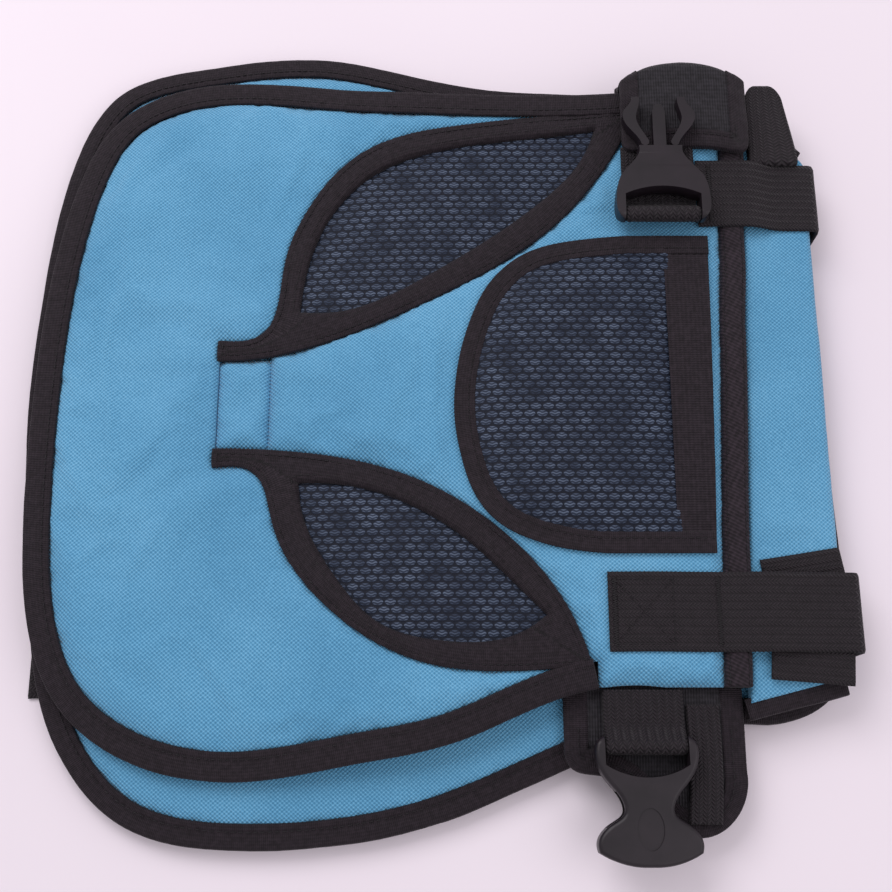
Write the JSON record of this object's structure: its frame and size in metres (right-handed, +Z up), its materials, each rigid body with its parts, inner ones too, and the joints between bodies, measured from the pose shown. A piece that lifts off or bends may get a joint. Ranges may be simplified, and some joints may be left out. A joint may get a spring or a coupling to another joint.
{
  "type": "chest-worn soft carrier",
  "caption": "Soft chest-worn carrier folded flat: padded woven panels with mesh windows and a mesh pocket, bound edges, webbing straps and side-release buckle halves.",
  "frame": {"origin": "middle of the whole folded carrier, on the surface it lies on", "axes": "+X towards the waist end with its hem and folded band, -X towards the rounded head end, +Y towards the belt end with the buckle plug, +Z up out of the front panel"},
  "size_m": [0.4023, 0.4158, 0.0421],
  "materials": {
    "woven_cover": "plain-woven polyester, sky blue, matt",
    "binding_tape": "folded twill binding tape, black",
    "spacer_mesh": "warp-knit spacer mesh with oval holes, dark navy",
    "webbing": "ribbed polypropylene webbing, black",
    "foam": "open-cell foam insert, off-white",
    "lining": "knitted mesh lining, black",
    "elastic": "ribbed elastic band, black",
    "buckle_plastic": "moulded acetal, black, satin",
    "thread": "polyester sewing thread, black"
  },
  "bodies": {
    "carrier": {"back_panel_lining": "lining", "back_panel_foam": "foam", "back_panel_cover": "woven_cover", "back_panel_binding": "binding_tape", "side_band": "woven_cover", "side_band_binding": "binding_tape", "belt_lining": "spacer_mesh", "belt_foam": "foam", "belt_cover": "lining", "belt_binding": "binding_tape", "belt_turn_upper": "lining", "wing_lining": "lining", "wing_foam": "foam", "wing_cover": "woven_cover", "centre_panel_lining": "lining", "centre_panel_foam": "foam", "centre_panel_cover": "woven_cover", "neck_band": "woven_cover", "front_binding": "binding_tape", "hem_tape": "binding_tape", "mesh_window_upper": "spacer_mesh", "mesh_window_lower": "spacer_mesh", "window_binding_upper": "binding_tape", "window_binding_lower": "binding_tape", "pocket_mesh": "spacer_mesh", "pocket_binding": "binding_tape", "pocket_elastic": "elastic", "shoulder_webbing_lower": "webbing", "shoulder_webbing_upper": "webbing", "shoulder_webbing_slack": "webbing", "shoulder_webbing_spare": "webbing", "webbing_bartacks": "thread"},
    "belt_end_lower": {"belt_end_lower_lining": "spacer_mesh", "belt_end_lower_foam": "foam", "belt_end_lower_cover": "lining", "belt_end_lower_binding": "binding_tape", "belt_webbing_lower": "webbing"},
    "socket": {"buckle_socket": "buckle_plastic"},
    "belt_end_upper": {"belt_end_upper_lining": "lining", "belt_end_upper_foam": "foam", "belt_end_upper_cover": "lining", "belt_end_upper_binding": "binding_tape", "belt_webbing_upper": "webbing"},
    "plug": {"buckle_plug": "buckle_plastic"},
    "arm_left": {"plug_arm_left": "buckle_plastic"},
    "arm_right": {"plug_arm_right": "buckle_plastic"}
  },
  "joints": [
    {"name": "lower_end_fold", "type": "hinge", "parent": "carrier", "child": "belt_end_lower", "pos_m": [0.1029, -0.13694, 0.0182], "axis": [-1, 0, 0], "range_deg": [0, 60]},
    {"name": "socket_swing", "type": "hinge", "parent": "belt_end_lower", "child": "socket", "pos_m": [0.0979, -0.15594, 0.024], "axis": [-1, 0, 0], "range_deg": [0, 100]},
    {"name": "upper_end_unfold", "type": "hinge", "parent": "carrier", "child": "belt_end_upper", "pos_m": [0.1259, 0.18506, 0.02275], "axis": [-1, 0, 0], "range_deg": [0, 85]},
    {"name": "plug_swing", "type": "hinge", "parent": "belt_end_upper", "child": "plug", "pos_m": [0.1159, 0.10106, 0.0376], "axis": [1, 0, 0], "range_deg": [0, 140]},
    {"name": "arm_left_flex", "type": "hinge", "parent": "plug", "child": "arm_left", "pos_m": [0.1083, 0.13946, 0.0376], "axis": [0, 0, -1], "range_deg": [0, 7], "stiffness_Nm_per_rad": 1.2},
    {"name": "arm_right_flex", "type": "hinge", "parent": "plug", "child": "arm_right", "pos_m": [0.1235, 0.13946, 0.0376], "axis": [0, 0, 1], "range_deg": [0, 7], "stiffness_Nm_per_rad": 1.2}
  ]
}
